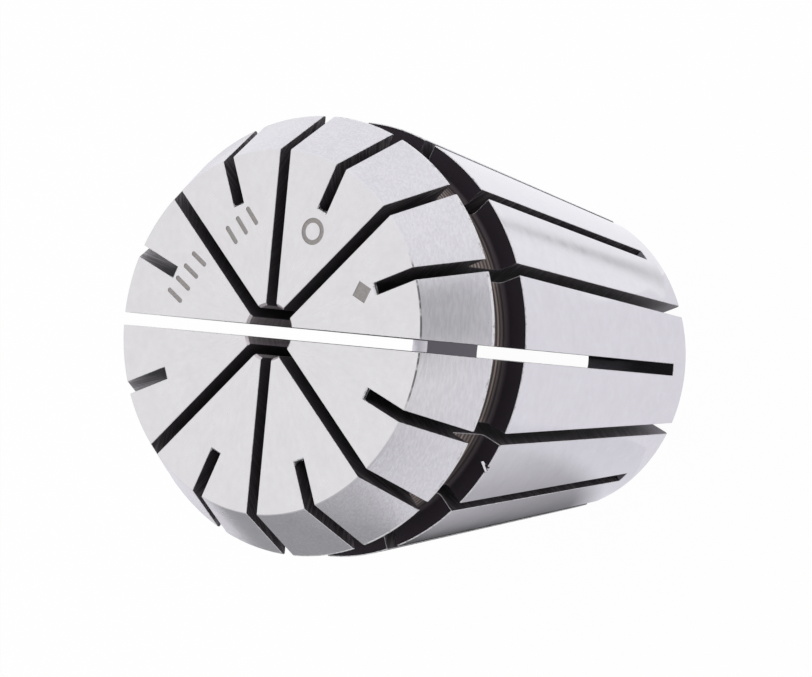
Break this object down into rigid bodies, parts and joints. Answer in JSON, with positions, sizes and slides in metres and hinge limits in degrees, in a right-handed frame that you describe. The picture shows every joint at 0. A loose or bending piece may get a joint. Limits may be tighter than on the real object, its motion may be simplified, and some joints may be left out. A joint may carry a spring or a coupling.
{
  "type": "collet",
  "caption": "Slotted double-cone steel spring collet that closes its bore on a round tool shank when a nut presses it into a tapered socket.",
  "frame": {"origin": "centre of the small back end face, on the collet's axis, where the collet stands", "axes": "+Z along the collet's axis from the small back end to the wide nut-side face; +X through the middle of a slot sawn from the face"},
  "size_m": [0.033, 0.033, 0.04],
  "materials": {
    "hardened_steel": "ground bright on the face, cones, rim and seat; blackened in the groove and slots"
  },
  "bodies": {
    "root": {"collet": "hardened_steel"}
  },
  "joints": []
}
